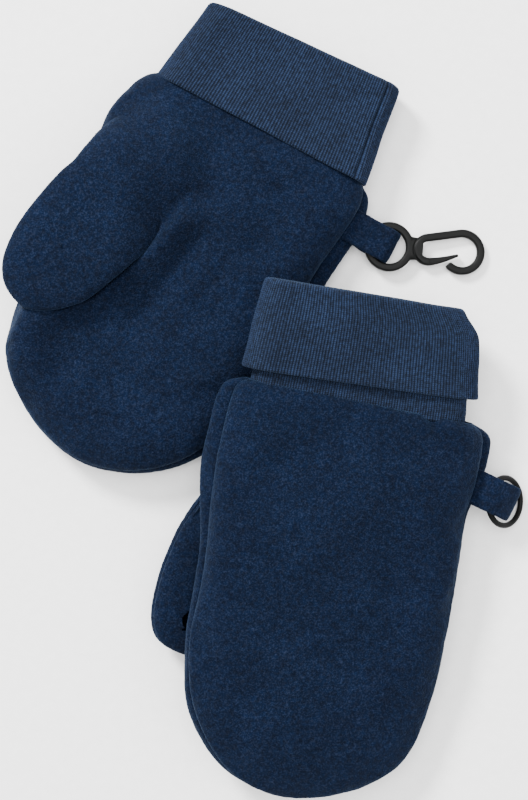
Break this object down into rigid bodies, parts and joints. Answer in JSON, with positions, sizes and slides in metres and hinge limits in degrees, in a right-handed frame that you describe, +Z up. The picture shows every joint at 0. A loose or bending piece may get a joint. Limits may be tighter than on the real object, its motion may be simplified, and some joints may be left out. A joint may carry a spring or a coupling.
{
  "type": "toddler fleece mittens",
  "caption": "Pair of toddler fleece mittens with thumb pouches, long turned-back rib cuffs, a loop strap on each, a snap hook and a ring that clip them together",
  "frame": {"origin": "middle of the pair on the table, under the centre of its bounding box", "axes": "+Z up from the table, +Y towards the cuffs, fingers towards -Y, +X towards the hook and ring"},
  "size_m": [0.1674, 0.2598, 0.0366],
  "materials": {
    "fleece": "short brushed pile",
    "rib_knit": "fine 1x1 rib knit",
    "seam_thread": "overlocked thread",
    "fleece_strap": "folded pile fabric",
    "hook_plastic": "moulded, soft sheen",
    "ring_plastic": "moulded, soft sheen"
  },
  "bodies": {
    "right_mitten": {"right_back_panel": "fleece", "right_palm_panel": "fleece", "right_cuff_inner": "rib_knit", "right_side_seam": "seam_thread", "right_cuff_seam": "seam_thread"},
    "right_thumb": {"right_thumb_front": "fleece", "right_thumb_rear": "fleece", "right_thumb_seam": "seam_thread"},
    "right_cuff_fold": {"right_cuff_turnback": "rib_knit"},
    "right_strap": {"right_loop": "fleece_strap"},
    "left_mitten": {"left_back_panel": "fleece", "left_palm_panel": "fleece", "left_cuff_inner": "rib_knit", "left_side_seam": "seam_thread", "left_cuff_seam": "seam_thread"},
    "left_thumb": {"left_thumb_front": "fleece", "left_thumb_rear": "fleece", "left_thumb_seam": "seam_thread"},
    "left_cuff_fold": {"left_cuff_turnback": "rib_knit"},
    "left_strap": {"left_loop": "fleece_strap"},
    "hook": {"snap_hook": "hook_plastic"},
    "gate": {"hook_gate": "hook_plastic"},
    "ring": {"o_ring": "ring_plastic"}
  },
  "joints": [
    {"name": "right_thumb_swing", "type": "hinge", "parent": "right_mitten", "child": "right_thumb", "pos_m": [-0.03767, 0.0762, 0.0225], "axis": [0, 0, -1], "range_deg": [-6, 30], "stiffness_Nm_per_rad": 0.02},
    {"name": "right_cuff_unfold", "type": "slide", "parent": "right_mitten", "child": "right_cuff_fold", "axis": [0.4695, 0.8829, 0], "range_m": [0, 0.028]},
    {"name": "right_strap_flap", "type": "hinge", "parent": "right_mitten", "child": "right_strap", "pos_m": [0.03307, 0.05184, 0.009], "axis": [-0.4695, -0.8829, 0], "range_deg": [0, 70]},
    {"name": "hook_swivel", "type": "hinge", "parent": "right_strap", "child": "hook", "pos_m": [0.03996, 0.04818, 0.0036], "axis": [0.0735, 0, 0.9973], "range_deg": [-15, 60]},
    {"name": "gate_flex", "type": "hinge", "parent": "hook", "child": "gate", "pos_m": [0.05302, 0.0434, 0.00264], "axis": [0.0735, 0, 0.9973], "range_deg": [0, 14], "stiffness_Nm_per_rad": 0.02},
    {"name": "left_lift_off", "type": "slide", "parent": "right_mitten", "child": "left_mitten", "axis": [0, 0, 1], "range_m": [0, 0.06]},
    {"name": "left_thumb_swing", "type": "hinge", "parent": "left_mitten", "child": "left_thumb", "pos_m": [-0.0052, -0.03009, 0.00937], "axis": [-0.1564, 0.0964, -0.983], "range_deg": [0, 30], "stiffness_Nm_per_rad": 0.02},
    {"name": "left_cuff_unfold", "type": "slide", "parent": "left_mitten", "child": "left_cuff_fold", "axis": [0.1545, 0.9854, 0.072], "range_m": [0, 0.025]},
    {"name": "left_strap_flap", "type": "hinge", "parent": "left_mitten", "child": "left_strap", "pos_m": [0.0739, -0.03067, 0.01372], "axis": [-0.3368, -0.9041, 0.2631], "range_deg": [0, 50]},
    {"name": "ring_flip", "type": "hinge", "parent": "left_strap", "child": "ring", "pos_m": [0.07276, -0.033, 0.00996], "axis": [-0.1545, -0.9781, 0.1391], "range_deg": [0, 16]}
  ]
}
